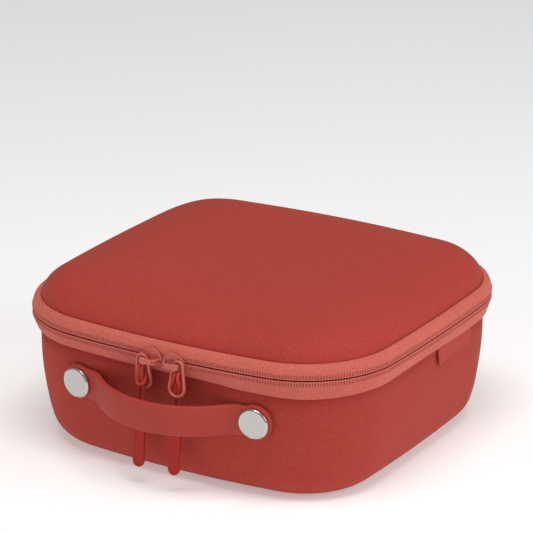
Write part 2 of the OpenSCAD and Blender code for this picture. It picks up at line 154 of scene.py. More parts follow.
class Nodes:
    """Builds a node tree with short calls. A value is a number, a colour or another node's socket."""

    def __init__(self, name):
        self.material = bpy.data.materials.new(name)
        self.material.use_nodes = True
        self.tree = self.material.node_tree
        self.shader = self.tree.nodes["Principled BSDF"]

    def put(self, node, key, value):
        socket = node.inputs[key]
        if isinstance(value, bpy.types.NodeSocket):
            self.tree.links.new(value, socket)
        elif isinstance(value, (tuple, list)) and len(value) == 3 and socket.type == "RGBA":
            socket.default_value = (*value, 1)
        else:
            socket.default_value = value

    def math(self, operation, a, b=0.0):
        node = self.tree.nodes.new("ShaderNodeMath")
        node.operation = operation
        self.put(node, 0, a)
        self.put(node, 1, b)
        return node.outputs[0]

    def total(self, *terms):
        """The sum of (value, weight) pairs."""
        out = None
        for value, weight in terms:
            term = value if weight == 1 else self.math("MULTIPLY", value, weight)
            out = term if out is None else self.math("ADD", out, term)
        return out

    def coords(self, kind):
        return self.tree.nodes.new("ShaderNodeTexCoord").outputs[kind]

    def split(self, vector):
        node = self.tree.nodes.new("ShaderNodeSeparateXYZ")
        self.put(node, 0, vector)
        return node.outputs

    def noise(self, vector, scale, detail=3.0, rough=0.5):
        node = self.tree.nodes.new("ShaderNodeTexNoise")
        self.put(node, "Vector", vector)
        self.put(node, "Scale", scale)
        self.put(node, "Detail", detail)
        self.put(node, "Roughness", rough)
        return node.outputs["Fac"]

    def ramp(self, value, low, high, out_low=0.0, out_high=1.0, smooth=True):
        node = self.tree.nodes.new("ShaderNodeMapRange")
        if smooth:
            node.interpolation_type = "SMOOTHSTEP"
        self.put(node, "Value", value)
        numbers = {"From Min": low, "From Max": high, "To Min": out_low, "To Max": out_high}
        for key, number in numbers.items():
            self.put(node, key, number)
        return node.outputs["Result"]

    def mix(self, factor, a, b):
        node = self.tree.nodes.new("ShaderNodeMix")
        node.data_type = "RGBA"
        self.put(node, 0, factor)
        self.put(node, 6, a)
        self.put(node, 7, b)
        return node.outputs[2]

    def bump(self, height, distance):
        node = self.tree.nodes.new("ShaderNodeBump")
        self.put(node, "Height", height)
        self.put(node, "Distance", distance)
        self.put(node, "Strength", 1.0)
        return node.outputs["Normal"]

    def set(self, **values):
        """Sets the shader's sockets, named with underscores for spaces."""
        for key, value in values.items():
            self.put(self.shader, key.replace("_", " "), value)
        return self.material


def shade(color, factor):
    return tuple(c * factor for c in color)


def ridge(n, along, pitch):
    """Rounded ridges of a pitch: 0 in the grooves and 1 on the crests."""
    return n.math("ABSOLUTE", n.math("SINE", n.math("MULTIPLY", along, math.pi / pitch)))


def woven(name, color, pitch, depth, rough=0.8, contrast=0.24):
    """Twill cloth on a mesh whose UVs are in metres: fine ribs on the slant, crossed by finer threads."""
    n = Nodes(name)
    uv = n.split(n.coords("UV"))
    place = n.coords("Object")
    twill = ridge(n, n.math("SUBTRACT", uv[0], uv[1]), pitch)
    threads = ridge(n, n.math("ADD", uv[0], uv[1]), pitch / 3)
    fine = n.noise(place, 900.0, 2.0, 0.65)
    broad = n.noise(place, 16.0, 3.0, 0.5)
    height = n.total((twill, 0.75), (threads, 0.25))
    amount = n.ramp(n.total((height, 0.2), (fine, 0.7), (broad, 0.1)), 0.15, 0.8, smooth=False)
    return n.set(Base_Color=n.mix(amount, shade(color, 1 - contrast), shade(color, 1 + contrast)),
                 Roughness=rough, Normal=n.bump(n.total((height, 1), (fine, 0.5)), depth),
                 Sheen_Weight=0.06, Sheen_Roughness=0.5, Sheen_Tint=(1.0, 0.6, 0.5), Specular_IOR_Level=0.25)


SHELL_RED = (0.400, 0.042, 0.028)
TAPE_RED = (0.640, 0.138, 0.100)
CORD_RED = (0.520, 0.032, 0.020)

shell_mat = woven("shell_weave", SHELL_RED, 0.0016, 0.00009, contrast=0.42)


def tape_material():
    """Knitted zip tape. UV u runs along the tape from the middle of the front, and v across it, in metres."""
    n = Nodes("tape_knit")
    uv = n.split(n.coords("UV"))
    place = n.coords("Object")
    rib = ridge(n, uv[1], 0.0013)
    wale = ridge(n, uv[0], 0.0009)
    grain = n.noise(place, 850.0, 2.0, 0.7)
    broad = n.noise(place, 40.0, 2.0, 0.5)
    height = n.total((rib, 0.25), (wale, 0.2), (grain, 1.2))
    # The sewn ticks stand across the tape on both sides of the zip line. The gaps between them are darkened
    # with painted shade, standing in for the shadow between the threads.
    level = n.math("ABSOLUTE", n.math("SUBTRACT", n.split(place)[2], ZIP_Z * MM))
    zone = n.math("MULTIPLY", n.ramp(level, 0.0010, 0.0015), n.ramp(level, 0.0034, 0.0040, 1.0, 0.0))
    gap = n.ramp(ridge(n, uv[0], COIL_PITCH * MM), 0.45, 0.85)
    # Painted shade: how far the gaps between the ticks are darkened towards a deep red.
    gap_shade = n.math("MULTIPLY", n.math("MULTIPLY", zone, gap), 0.62)
    amount = n.ramp(n.total((height, 0.55), (broad, 0.2)), 0.3, 0.95, smooth=False)
    body = n.mix(amount, shade(TAPE_RED, 0.62), shade(TAPE_RED, 1.34))
    return n.set(Base_Color=n.mix(gap_shade, body, (0.26, 0.024, 0.016)), Roughness=0.75,
                 Normal=n.bump(height, 0.00014), Sheen_Weight=0.08, Sheen_Roughness=0.5,
                 Sheen_Tint=(1.0, 0.65, 0.55), Specular_IOR_Level=0.25)


tape_mat = tape_material()
hinge_mat = woven("hinge_weave", shade(SHELL_RED, 0.9), 0.0008, 0.0001)
label_mat = woven("label_weave", shade(SHELL_RED, 1.18), 0.0006, 0.00005, rough=0.65, contrast=0.08)


def plain(name, color, rough, bump_scale, bump_depth, spread, **more):
    """A moulded or painted surface with fine grain and slight changes of tone."""
    n = Nodes(name)
    place = n.coords("Object")
    fine = n.noise(place, bump_scale, 3.0, 0.6)
    broad = n.noise(place, 30.0, 3.0, 0.5)
    tone = n.ramp(n.total((fine, 0.4), (broad, 0.6)), 0.3, 0.7)
    return n.set(Base_Color=n.mix(tone, shade(color, 1 - spread), shade(color, 1 + spread)),
                 Roughness=n.ramp(broad, 0.3, 0.7, rough - 0.05, rough + 0.05),
                 Normal=n.bump(fine, bump_depth), **more)


silicone_mat = plain("strap_silicone", (0.42, 0.046, 0.031), 0.62, 1200.0, 0.00001, 0.04,
                     Specular_IOR_Level=0.28)
tab_mat = plain("tab_rubber", (0.40, 0.020, 0.010), 0.5, 900.0, 0.00001, 0.06, Specular_IOR_Level=0.22)
paint_mat = plain("slider_paint", (0.58, 0.110, 0.080), 0.34, 1500.0, 0.000008, 0.05, Coat_Weight=0.15)
coil_mat = plain("coil_nylon", (0.24, 0.03, 0.022), 0.4, 800.0, 0.00001, 0.08)
thread_mat = plain("thread", (0.60, 0.13, 0.095), 0.65, 2500.0, 0.00004, 0.12)
liner_mat = plain("liner_sheet", (0.36, 0.37, 0.39), 0.38, 160.0, 0.00012, 0.05)
foam_mat = plain("foam", (0.70, 0.70, 0.68), 0.85, 1500.0, 0.0001, 0.06)


def cord_material():
    """A braid whose strands cross. UV u runs along the cord and v round it, both in metres."""
    n = Nodes("cord_braid")
    uv = n.split(n.coords("UV"))
    one = n.math("SINE", n.math("MULTIPLY", n.math("ADD", uv[0], uv[1]), math.pi / 0.0005))
    two = n.math("SINE", n.math("MULTIPLY", n.math("SUBTRACT", uv[0], uv[1]), math.pi / 0.0005))
    height = n.math("MAXIMUM", n.math("ABSOLUTE", one), n.math("ABSOLUTE", two))
    body = n.mix(height, shade(CORD_RED, 0.6), shade(CORD_RED, 1.15))
    return n.set(Base_Color=body, Roughness=0.62, Normal=n.bump(height, 0.00008))


cord_mat = cord_material()


def steel_material(name, rough):
    """Steel with a fine, even grain."""
    n = Nodes(name)
    place = n.coords("Object")
    fine = n.noise(place, 2400.0, 2.0, 0.6)
    body = n.mix(n.noise(place, 60.0, 2.0, 0.5), (0.56, 0.54, 0.52), (0.585, 0.565, 0.545))
    return n.set(Base_Color=body, Metallic=0.9, Normal=n.bump(fine, 0.000003),
                 Roughness=n.ramp(fine, 0.3, 0.7, rough - 0.02, rough + 0.02))


steel_mat = steel_material("rivet_steel", 0.42)
rim_mat = steel_material("rivet_rim", 0.12)

FLOOR = 4.0
n = Nodes("floor")
floor_tone = n.noise(n.coords("Object"), 3.0, 2.0)
floor_mat = n.set(Base_Color=n.mix(floor_tone, (0.80, 0.795, 0.79), (0.84, 0.835, 0.83)), Roughness=0.95,
                  Emission_Color=(1.0, 1.0, 1.0), Emission_Strength=0.3)
floor_mesh = bpy.data.meshes.new("floor")
floor_mesh.from_pydata([(-FLOOR, -FLOOR, 0), (FLOOR, -FLOOR, 0), (FLOOR, FLOOR, 0), (-FLOOR, FLOOR, 0)], [],
                       [(0, 1, 2, 3)])
floor = bpy.data.objects.new("floor", floor_mesh)
bpy.context.scene.collection.objects.link(floor)
floor_mesh.materials.append(floor_mat)

# ---------------------------------------------------------------- mesh making


def add_mesh(name, verts, faces, material, body, slot, uvs=None):
    """A mesh object from points in mm. uvs holds one pair for each face corner, in metres."""
    mesh = bpy.data.meshes.new(name)
    mesh.from_pydata([tuple(float(c) * MM for c in p) for p in verts], [], faces)
    if uvs is not None:
        layer = mesh.uv_layers.new(name="uv")
        layer.data.foreach_set("uv", np.asarray(uvs, np.float32).ravel())
    mesh.materials.append(material)
    mesh.polygons.foreach_set("use_smooth", [True] * len(mesh.polygons))
    mesh.update()
    piece = bpy.data.objects.new(name, mesh)
    bpy.context.scene.collection.objects.link(piece)
    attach(piece, body)
    return piece


def tidy_mesh(piece, merge=None, sharp=None):
    """Joins points nearer than merge, turns faces outward, and keeps edges of over sharp degrees crisp."""
    bm = bmesh.new()
    bm.from_mesh(piece.data)
    if merge is not None:
        bmesh.ops.remove_doubles(bm, verts=bm.verts, dist=merge)
        bmesh.ops.dissolve_degenerate(bm, dist=merge / 4, edges=bm.edges)
    bmesh.ops.recalc_face_normals(bm, faces=bm.faces)
    bm.to_mesh(piece.data)
    bm.free()
    if sharp is not None:
        piece.data.set_sharp_from_angle(angle=math.radians(sharp))
    return piece


def paint(node, material):
    """Gives a CAD node that is shown as it is one material."""
    node.data.materials.clear()
    node.data.materials.append(material)


def skin(rows, m, ring=True, closed=False, flip=False, caps=True):
    """The faces over rows of m points. ring joins each row's ends, and closed the last row to the first."""
    faces = []
    for i in range(rows if closed else rows - 1):
        j = (i + 1) % rows
        for k in range(m if ring else m - 1):
            q = (k + 1) % m
            p0, p1, p2, p3 = i * m + k, i * m + q, j * m + q, j * m + k
            faces.append((p0, p3, p2, p1) if flip else (p0, p1, p2, p3))
    if caps and ring and not closed:
        first, last = tuple(range(m)), tuple(range((rows - 1) * m, rows * m))
        faces += [first, last[::-1]] if flip else [first[::-1], last]
    return faces


def combine(parts):
    """One (verts, faces) from several."""
    verts, faces = [], []
    for v, f in parts:
        shift = len(verts)
        verts += [tuple(p) for p in v]
        faces += [tuple(k + shift for k in face) for face in f]
    return verts, faces


def bell(x, centre, width):
    return math.exp(-((x - centre) / width) ** 2)


def ease(f):
    """A smooth step, 0 up to f = 0 and 1 from f = 1."""
    f = min(1.0, max(0.0, f))
    return f * f * (3 - 2 * f)


def puckers(t, pitch, depth):
    """Even waves in sewn cloth, along the outline."""
    return (0.5 + 0.5 * math.sin(t * 2 * math.pi / pitch)) * depth


def outline_arcs():
    """(centre, radius, start, sweep) of the outline's arcs, anticlockwise from the middle of the front.

    There are eight, and the front one is split where the count starts."""
    quarter, corner = math.pi / 2, math.pi / 2 - FRONT_ANGLE - SIDE_ANGLE
    return [((0, FRONT_C), FRONT_R, -quarter, FRONT_ANGLE),
            ((CORNER_X, -CORNER_Y), CORNER_R, -quarter + FRONT_ANGLE, corner),
            ((-SIDE_C, 0), SIDE_R, -SIDE_ANGLE, 2 * SIDE_ANGLE),
            ((CORNER_X, CORNER_Y), CORNER_R, SIDE_ANGLE, corner),
            ((0, -FRONT_C), FRONT_R, quarter - FRONT_ANGLE, 2 * FRONT_ANGLE),
            ((-CORNER_X, CORNER_Y), CORNER_R, quarter + FRONT_ANGLE, corner),
            ((SIDE_C, 0), SIDE_R, math.pi - SIDE_ANGLE, 2 * SIDE_ANGLE),
            ((-CORNER_X, -CORNER_Y), CORNER_R, math.pi + SIDE_ANGLE, corner),
            ((0, FRONT_C), FRONT_R, -quarter - FRONT_ANGLE, FRONT_ANGLE)]


ARCS = outline_arcs()
PERIMETER = sum(r * a for _, r, _, a in ARCS)
FRONT_LEN = FRONT_ANGLE * FRONT_R
CORNER_LEN = (math.pi / 2 - FRONT_ANGLE - SIDE_ANGLE) * CORNER_R
SIDE_LEN = 2 * SIDE_ANGLE * SIDE_R
ZIP_LEN = FRONT_LEN + CORNER_LEN + SIDE_LEN + ZIP_END * CORNER_R


def outline_at(t):
    """(arc centre x, y, radius, direction x, y) at arc length t from the middle of the front."""
    t = t % PERIMETER
    for (cx, cy), r, start, sweep in ARCS:
        if t <= r * sweep + 1e-9:
            a = start + t / r
            return cx, cy, r, math.cos(a), math.sin(a)
        t -= r * sweep
    return cx, cy, r, math.cos(start + sweep), math.sin(start + sweep)


MIDDLE = 60.0


def at(row, inset, z):
    """A point of the box, in mm. An inset past the corner radius runs on to the centre."""
    cx, cy, r, dx, dy = row
    depth = min(inset, CORNER_R)
    x, y = cx + (r - depth) * dx, cy + (r - depth) * dy
    if inset > CORNER_R:
        keep = max(0.0, 1 - (inset - CORNER_R) / MIDDLE)
        x, y = x * keep, y * keep
    return x, y, z


def profile_lengths(profile):
    p = np.asarray(profile, float)
    return np.concatenate([[0], np.cumsum(np.hypot(*np.diff(p, axis=0).T))])


def swept(name, profile, material, body, slot, count, loop=True, span=None, push=None):
    """Sweeps (inset, z) points along the outline, or along span = (from, to) of it, with capped ends."""
    closed = span is None
    start, end = (0, PERIMETER) if closed else span
    steps = count if closed else count + 1
    points = list(profile)
    lengths = profile_lengths(points + [points[0]] if loop else points)
    m = len(points)
    verts = []
    for step in range(steps):
        t = start + (end - start) * step / count
        row = outline_at(t)
        for k, (inset, z) in enumerate(points):
            if push is not None:
                inset, z = push(t, k, inset, z)
            verts.append(at(row, inset, z))
    faces = skin(steps, m, loop, closed, flip=True)
    uvs = []
    for i in range(count):
        u0, u1 = (start + (end - start) * i / count) * MM, (start + (end - start) * (i + 1) / count) * MM
        if closed and i >= count // 2:
            u0, u1 = u0 - PERIMETER * MM, u1 - PERIMETER * MM
        for v0, v1 in zip(lengths * MM, lengths[1:] * MM):
            uvs += [(u0, v0), (u1, v0), (u1, v1), (u0, v1)]
    if loop and not closed:
        uvs += [(0, 0)] * (2 * m)
    piece = add_mesh(name, verts, faces, material, body, slot, uvs)
    return tidy_mesh(piece, 0.00002)


def flat_uvs(piece):
    """Lays the weave straight across the level faces, where the swept rows run together."""
    mesh = piece.data
    layer = mesh.uv_layers.active
    for face in mesh.polygons:
        if abs(face.normal.z) > 0.85:
            for k in face.loop_indices:
                place = mesh.vertices[mesh.loops[k].vertex_index].co
                layer.data[k].uv = (place.x, place.y)
    return piece


def arc_points(centre, r, a0, a1, steps):
    return [(centre[0] + r * math.cos(a0 + (a1 - a0) * k / steps),
             centre[1] + r * math.sin(a0 + (a1 - a0) * k / steps)) for k in range(steps + 1)]


def filleted(points, radii, steps=4, closed=True):
    """Rounds the corners of a polyline, all by one radius or each by its own."""
    out = []
    m = len(points)
    for k in range(m):
        p = np.array(points[k], float)
        a, b = np.array(points[k - 1], float), np.array(points[(k + 1) % m], float)
        da, db = a - p, b - p
        la, lb = np.linalg.norm(da), np.linalg.norm(db)
        cut = min(radii[k] if isinstance(radii, list) else radii, la * 0.48, lb * 0.48)
        if cut < 0.01 or not closed and k in (0, m - 1):
            out.append(tuple(p))
            continue
        p0, p1 = p + da / la * cut, p + db / lb * cut
        for s in range(steps + 1):
            t = s / steps
            out.append(tuple((1 - t) ** 2 * p0 + 2 * t * (1 - t) * p + t ** 2 * p1))
    return out


# ---------------------------------------------------------------- base

OUT_DOWN = math.atan2(-SIN_A, COS_A)
WALL_C = (-SEAM - WALL_R, WALL_TOP)
BOTTOM_C = (WALL_C[0] + (WALL_R - BOTTOM_R) * COS_A, WALL_C[1] - (WALL_R - BOTTOM_R) * SIN_A)
BASE_FULL, FULL_Z, FULL_SPAN = 0.6, 18.0, 12.0
BASE_WAVE, BASE_WAVE_SPAN = 0.25, 38.0
DRAWN_IN, DRAWN_SPAN = 0.18, 3.0


def base_profile(depth, top):
    """(inset, z) from the centre of the floor out and up to the level top."""
    floor = [(CORNER_R + MIDDLE * (1 - k / 14), depth) for k in range(14)]
    floor += [(CORNER_R + (-BOTTOM_C[0] - CORNER_R) * k / 5, depth) for k in range(5)]
    curve = arc_points(BOTTOM_C, BOTTOM_R - depth, -math.pi / 2, OUT_DOWN, 14)
    wall = arc_points(WALL_C, WALL_R - depth, OUT_DOWN, 0, 14)[1:]
    shape = floor + [(-x, z) for x, z in curve + wall]
    return [p for p in shape if p[1] < top - 0.5] + [(SEAM + depth, top)]


def base_push(t, k, inset, z):
    """The wall is a little uneven and full low down, and is drawn in where the band is sewn to it."""
    if z < 1.0 or k >= outer_count:
        return inset, z
    place = Vector(at(outline_at(t), inset, z))
    wave = noise.noise(place / BASE_WAVE_SPAN) * BASE_WAVE * min(1, z / 20)
    near = bell(z, FOOT_Z, DRAWN_SPAN)
    full = BASE_FULL * bell(z, FULL_Z, FULL_SPAN)
    return inset + wave + puckers(t, 5.4, 0.12) * near + DRAWN_IN * near - full, z


outer = base_profile(0.0, BASE_RIM_Z)
outer_count = len(outer)
base_skin = swept("base_skin", outer + base_profile(SHELL_T, BASE_RIM_Z)[::-1], shell_mat, "base",
                  "shell_fabric", count=440, loop=False, push=base_push)
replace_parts(flat_uvs(base_skin), "base_shell")

liner_outer, liner_inner = base_profile(LINER_FROM, BASE_RIM_Z), base_profile(WALL_T, BASE_RIM_Z)
base_lining = swept("base_lining", liner_outer + liner_inner[::-1], liner_mat, "base", "liner", count=300,
                    loop=False)
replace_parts(base_lining, "base_liner")

# ---------------------------------------------------------------- lid

CROWN_R, SHOULDER_R, EDGE_R = 150.0, 32.0, 17.0
CROWN_C = (-CORNER_R, LID_TOP_Z - CROWN_R)
SHOULDER_C = (CROWN_C[0] + (CROWN_R - SHOULDER_R) * SIN_A, CROWN_C[1] + (CROWN_R - SHOULDER_R) * COS_A)
EDGE_C = (SHOULDER_C[0] + (SHOULDER_R - EDGE_R) * SIN_B, SHOULDER_C[1] + (SHOULDER_R - EDGE_R) * COS_B)
UP_STEEP, UP_OUT, OUT_UP = math.atan2(COS_A, SIN_A), math.atan2(COS_B, SIN_B), math.atan2(SIN_A, COS_A)
LID_FOOT_Z = EDGE_C[1] + EDGE_R * SIN_A
CORNER_FULL, CORNER_INSET, CORNER_SPAN = 1.3, 22.0, 14.0
LIFT_FROM, LIFT_OVER = 6.0, 14.0
LID_WAVE, LID_WAVE_SPAN, NOISE_Z = 0.1, 45.0, 7.0


def lid_profile(depth, low):
    """(inset, z) from the centre of the top out and down to the level low."""
    top = [(CORNER_R + MIDDLE * (1 - k / 14), LID_TOP_Z - depth) for k in range(14)]
    curve = arc_points(CROWN_C, CROWN_R - depth, math.pi / 2, UP_STEEP, 12)
    curve += arc_points(SHOULDER_C, SHOULDER_R - depth, UP_STEEP, UP_OUT, 8)[1:]
    curve += arc_points(EDGE_C, EDGE_R - depth, UP_OUT, OUT_UP, 12)[1:]
    shape = top + [(-x, z) for x, z in curve]
    x, z = shape[-1]
    return shape + [(x + 0.15, z - 0.8), (x + 0.5, (z + low) / 2), (x + 0.5, low)]


lid_outer = lid_profile(0.0, LID_RIM_Z)
lid_count = len(lid_outer)


def lid_push(t, k, inset, z):
    """The cloth is pulled down at its foot, the corners are full, and the top is a little uneven."""
    if k >= lid_count:
        return inset, z
    row = outline_at(t)
    x, y, _ = at(row, inset, z)
    # The shoulder is fuller over the four corners.
    corner = (2 * abs(row[3] * row[4])) ** 2
    full = CORNER_FULL * corner * bell(inset, CORNER_INSET, CORNER_SPAN)
    wave = LID_WAVE + noise.noise(Vector((x, y, NOISE_Z)) / LID_WAVE_SPAN) * LID_WAVE
    # The lift dies away down the edge, so the shoulder runs on without a step.
    lift = ease((inset - LIFT_FROM) / LIFT_OVER) * (full - wave)
    return inset - 0.6 * full + puckers(t, 5.1, 0.1) * bell(z, LID_FOOT_Z, 2.2), z + lift


lid_skin = swept("lid_skin", lid_outer + lid_profile(SHELL_T, LID_RIM_Z)[::-1], shell_mat, "lid",
                 "shell_fabric", count=440, loop=False, push=lid_push)
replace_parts(flat_uvs(lid_skin), "lid_shell")
lid_lining = swept("lid_lining", lid_profile(LINER_FROM, LID_RIM_Z) + lid_profile(WALL_T, LID_RIM_Z)[::-1],
                   liner_mat, "lid", "liner", count=300, loop=False)
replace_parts(lid_lining, "lid_liner")

for name in ("base_foam", "lid_foam"):
    paint(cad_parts[name], foam_mat)

# ---------------------------------------------------------------- zip band

LIP_GAP = 0.45
LOW_LIP, HIGH_LIP = ZIP_Z - LIP_GAP, ZIP_Z + LIP_GAP
LOW_SHELF, HIGH_SHELF = BASE_RIM_Z + 1.25, LID_RIM_Z - 1.25
LOW_BAND = filleted(
    [(5.15, FOOT_Z), (3.6, FOOT_Z + 0.2), (2.7, FOOT_Z + 1.1), (2.0, FOOT_Z + 3.2), (0.8, FOOT_Z + 7.0),
     (0.05, FOOT_Z + 10.2), (0.0, LOW_LIP), (1.2, LOW_LIP), (1.2, LOW_SHELF), (5.15, LOW_SHELF)],
    [0.2, 0.9, 0.8, 2.0, 2.4, 1.0, 0.45, 0.3, 0.1, 0.1])
HIGH_BAND = filleted(
    [(1.2, HIGH_LIP), (0.0, HIGH_LIP), (0.02, HIGH_LIP + 2.7), (0.5, HIGH_LIP + 5.1), (1.6, LID_FOOT_Z - 1.5),
     (3.4, LID_FOOT_Z - 0.45), (5.3, LID_FOOT_Z - 0.15), (5.55, LID_FOOT_Z - 1.3), (5.15, HIGH_SHELF),
     (1.2, HIGH_SHELF)],
    [0.3, 0.45, 1.4, 1.2, 1.2, 1.0, 0.3, 0.3, 0.1, 0.1])
# How far the sewn foot of the lower band wanders from its level, by arc length from the middle of the front.
FOOT_WAVE = [(-400, 0.0), (-250, 0.0), (-160, 1.6), (-60, 2.0), (20, 2.0), (62, -0.2), (100, -1.1),
             (150, -0.5), (205, 0.7), (260, 0.0), (400, 0.0)]
WAVE_TOP = ZIP_Z - 4.6
STITCH_LEN, STITCH_LEAN, STITCH_R = 2.3, 0.2, 0.42
BIND_OUT, BIND_IN = 5.25, 13.8


def foot_push(t, _, inset, z):
    """The foot of the band rises and falls a little on its way round."""
    t = (t + PERIMETER / 2) % PERIMETER - PERIMETER / 2
    for (t0, w0), (t1, w1) in zip(FOOT_WAVE, FOOT_WAVE[1:]):
        if t0 <= t <= t1:
            wave = w0 + (w1 - w0) * ease((t - t0) / (t1 - t0))
            return inset, z + wave * min(1.0, max(0.0, (WAVE_TOP - z) / (WAVE_TOP - FOOT_Z)))
    return inset, z


band_low = swept("band_low", LOW_BAND, tape_mat, "base", "zip_tape", count=440, push=foot_push)
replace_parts(band_low, "zip_tape_lower")
band_high = swept("band_high", HIGH_BAND, tape_mat, "lid", "zip_tape", count=440)
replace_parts(band_high, "zip_tape_upper")


def band_inset(profile, level):
    """The inset of the band's outer face at a level."""
    crossings = [i0 + (i1 - i0) * (level - z0) / (z1 - z0) for (i0, z0), (i1, z1) in zip(profile, profile[1:])
                 if min(z0, z1) <= level <= max(z0, z1) and z0 != z1]
    return min(crossings)


def stitch_row(name, profile, z, body):
    """Sewn ticks that stand across the band at the pitch of the coil, as one mesh."""
    rings, sides = 5, 6
    turns = int(ZIP_LEN / COIL_PITCH)
    parts = []
    for turn in range(-turns, turns + 1):
        verts = []
        for i in range(rings):
            f = -1 + 2 * i / (rings - 1)
            r = STITCH_R * math.sqrt(max(0.05, 1 - abs(f) ** 4))
            level = z + f * STITCH_LEN / 2
            depth = band_inset(profile, level) - 0.22 * (1 - f * f) + 0.05
            for s in range(sides):
                a = 2 * math.pi * s / sides
                row = outline_at(turn * COIL_PITCH + f * STITCH_LEAN + r * math.cos(a))
                verts.append(at(row, depth - r * 0.5 * math.sin(a), level))
        parts.append((verts, skin(rings, sides)))
    tidy_mesh(add_mesh(name, *combine(parts), thread_mat, body, "zip_tape"), 0.000001)


stitch_row("stitches_low", LOW_BAND, ZIP_Z - 2.5, "base")
stitch_row("stitches_high", HIGH_BAND, ZIP_Z + 2.4, "lid")


def binding(name, z0, z1, body, node):
    corners = [(BIND_OUT, z0), (BIND_IN, z0), (BIND_IN, z1), (BIND_OUT, z1)]
    piece = swept(name, filleted(corners, [0.1, 0.55, 0.55, 0.1]), tape_mat, body, "zip_tape", count=360)
    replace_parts(piece, node)


binding("binding_low", BASE_RIM_Z + 0.07, BASE_RIM_Z + 1.22, "base", "base_binding")
binding("binding_high", LID_RIM_Z - 1.22, LID_RIM_Z - 0.07, "lid", "lid_binding")

# ---------------------------------------------------------------- zip coils

COIL_MID, COIL_WIRE = 1.95, 0.36
COIL_INSET, COIL_DEPTH = 2.65, 0.85
COIL_HEAD, COIL_FOOT = 1.6, 1.15


def coil(name, body, sign, shift, node):
    """One monofilament wound along the edge of a tape. The two rows' turns just meet at the zip line."""
    turns = int(ZIP_LEN / COIL_PITCH) - 1
    steps, sides = 14, 6
    total = 2 * turns * steps
    line = []
    for i in range(total + 1):
        a = 2 * math.pi * i / steps
        reach = math.cos(a)
        reach *= COIL_HEAD if reach > 0 else COIL_FOOT
        line.append(((i / steps - turns + shift) * COIL_PITCH, COIL_INSET + COIL_DEPTH * math.sin(a),
                     ZIP_Z + sign * (COIL_MID - reach)))
    verts = []
    for i, (t, inset, z) in enumerate(line):
        before, after = line[max(0, i - 1)], line[min(total, i + 1)]
        along = Vector([b - a for a, b in zip(before, after)]).normalized()
        side = along.cross(Vector((1, 0, 0)))
        side = side.normalized() if side.length > 1e-4 else Vector((0, 0, 1))
        other = along.cross(side).normalized()
        for s in range(sides):
            a = 2 * math.pi * s / sides
            d = (side * math.cos(a) + other * math.sin(a)) * COIL_WIRE
            verts.append(at(outline_at(t + d[0]), inset + d[1], z + d[2]))
    piece = tidy_mesh(add_mesh(name, verts, skin(total + 1, sides), coil_mat, body, "zip_coil"))
    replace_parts(piece, node)


coil("coil_low", "base", -1, 0.0, "zip_coil_lower")
coil("coil_high", "lid", 1, 0.5, "zip_coil_upper")

# ---------------------------------------------------------------- fabric hinge

BACK_T = PERIMETER / 2
WEB_OUT, WEB_IN = 1.35, 2.3
WEB_LOW, WEB_HIGH = ZIP_Z - 3.0, ZIP_Z + 3.0
web_corners = [(WEB_OUT, WEB_LOW), (WEB_IN, WEB_LOW), (WEB_IN, WEB_HIGH), (WEB_OUT, WEB_HIGH)]
web = swept("hinge_web", filleted(web_corners, 0.3, 3), hinge_mat, "base", "hinge_fabric", count=60,
            span=(BACK_T - HINGE_W / 2, BACK_T + HINGE_W / 2))
web.parent = None
web.matrix_world = Matrix.Identity(4)
bm = bmesh.new()
bm.from_mesh(web.data)
for level in [WEB_LOW + 0.5 * k for k in range(1, 12)]:
    bmesh.ops.bisect_plane(bm, geom=bm.verts[:] + bm.edges[:] + bm.faces[:], plane_co=(0, 0, level * MM),
                           plane_no=(0, 0, 1))
bm.to_mesh(web.data)
bm.free()
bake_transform(web)
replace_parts(web, "hinge_web_lower", "hinge_web_upper")


def zip_stop(name, side, node):
    spot = side * (ZIP_LEN + 1.5)
    corners = [(-0.1, ZIP_Z - 3.4), (-1.0, ZIP_Z - 3.4), (-1.0, ZIP_Z - 0.8), (-0.1, ZIP_Z - 0.8)]
    piece = swept(name, filleted(corners, 0.4, 3), hinge_mat, "base", "hinge_fabric", count=8,
                  span=(spot - 3, spot + 3))
    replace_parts(piece, node)


zip_stop("stop_left", -1, "zip_stop_left")
zip_stop("stop_right", 1, "zip_stop_right")

# ---------------------------------------------------------------- side label


